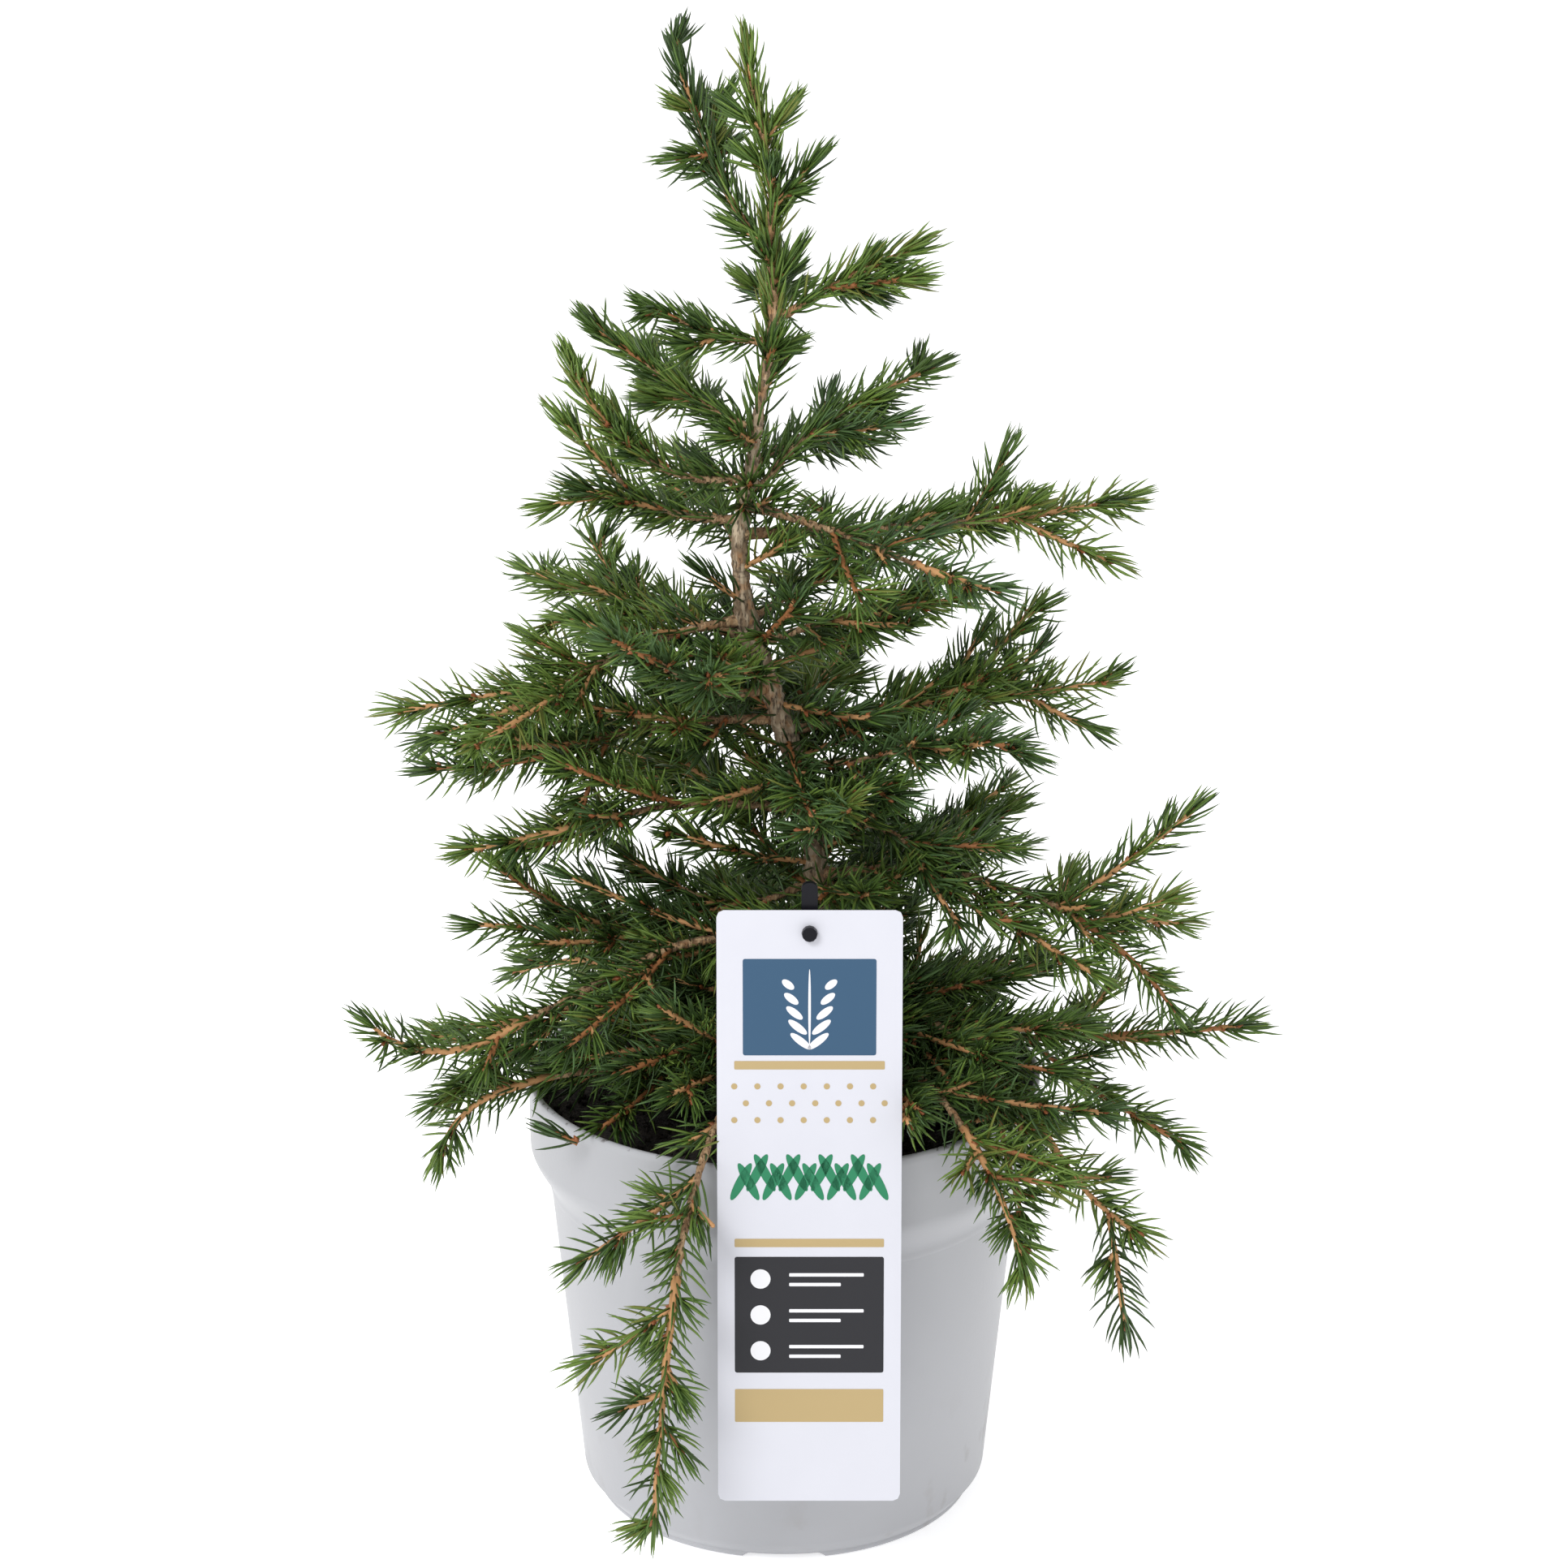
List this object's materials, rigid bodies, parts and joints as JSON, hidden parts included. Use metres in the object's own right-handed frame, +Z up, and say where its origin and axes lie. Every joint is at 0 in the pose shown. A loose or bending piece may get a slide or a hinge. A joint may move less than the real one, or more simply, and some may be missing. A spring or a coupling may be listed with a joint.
{
  "type": "potted dwarf spruce",
  "caption": "Small conical spruce with sparse, upswept, needle-covered boughs on a bare crooked trunk, in a smooth pale grey nursery pot with a hanging plant label.",
  "frame": {"origin": "middle of the pot's flat underside", "axes": "+Z up along the pot's axis; -Y towards the side where the label hangs; +X to the right seen from the label's side"},
  "size_m": [0.3446, 0.3102, 0.55],
  "materials": {
    "pot_plastic": "smooth pale cool grey, glossy",
    "soil": "damp, near-black, crumbly potting compost",
    "label_card": "printed bluish-white plastic card",
    "holder_plastic": "smooth black",
    "bark": "rough grey-brown scaly bark",
    "foliage": "mid to deep green needles on orange-tan twigs"
  },
  "bodies": {
    "root": {"pot": "pot_plastic", "soil": "soil", "label_card": "label_card", "label_holder": "holder_plastic", "trunk": "bark", "bough_upper_right": "bark", "bough_waist_left": "bark", "bough_waist_back": "bark", "bough_low_left": "bark", "bough_low_back": "bark", "bough_base_right": "bark", "bough_base_back": "bark", "bough_skirt_left": "bark", "bough_skirt_left_long": "bark", "bough_skirt_right": "bark", "bough_skirt_front_right": "bark", "bough_skirt_back": "bark", "bough_rim_left": "bark", "bough_rim_front_left": "bark", "bough_rim_front_right": "bark", "bough_rim_back": "bark", "foliage_leader": "foliage", "foliage_leader_left": "foliage", "foliage_crest_right": "foliage", "foliage_crest_left": "foliage", "foliage_crest_back": "foliage", "foliage_top_left": "foliage", "foliage_top_front_left": "foliage", "foliage_top_right": "foliage", "foliage_top_back_right": "foliage", "foliage_top_back": "foliage", "foliage_upper_left": "foliage", "foliage_upper_front_right": "foliage", "foliage_upper_right": "foliage", "foliage_upper_back": "foliage", "foliage_mid_left": "foliage", "foliage_mid_right": "foliage", "foliage_mid_back_right": "foliage", "foliage_mid_back_left": "foliage", "foliage_mid_front_left": "foliage", "foliage_waist_left": "foliage", "foliage_waist_right": "foliage", "foliage_waist_front_right": "foliage", "foliage_waist_back": "foliage", "foliage_low_left": "foliage", "foliage_low_front": "foliage", "foliage_low_right": "foliage", "foliage_low_back": "foliage", "foliage_base_left": "foliage", "foliage_base_right": "foliage", "foliage_base_back": "foliage", "foliage_skirt_left": "foliage", "foliage_skirt_left_long": "foliage", "foliage_skirt_right": "foliage", "foliage_skirt_front_right": "foliage", "foliage_skirt_back": "foliage", "foliage_rim_left": "foliage", "foliage_rim_front_left": "foliage", "foliage_rim_front_right": "foliage", "foliage_rim_back": "foliage"}
  },
  "joints": []
}
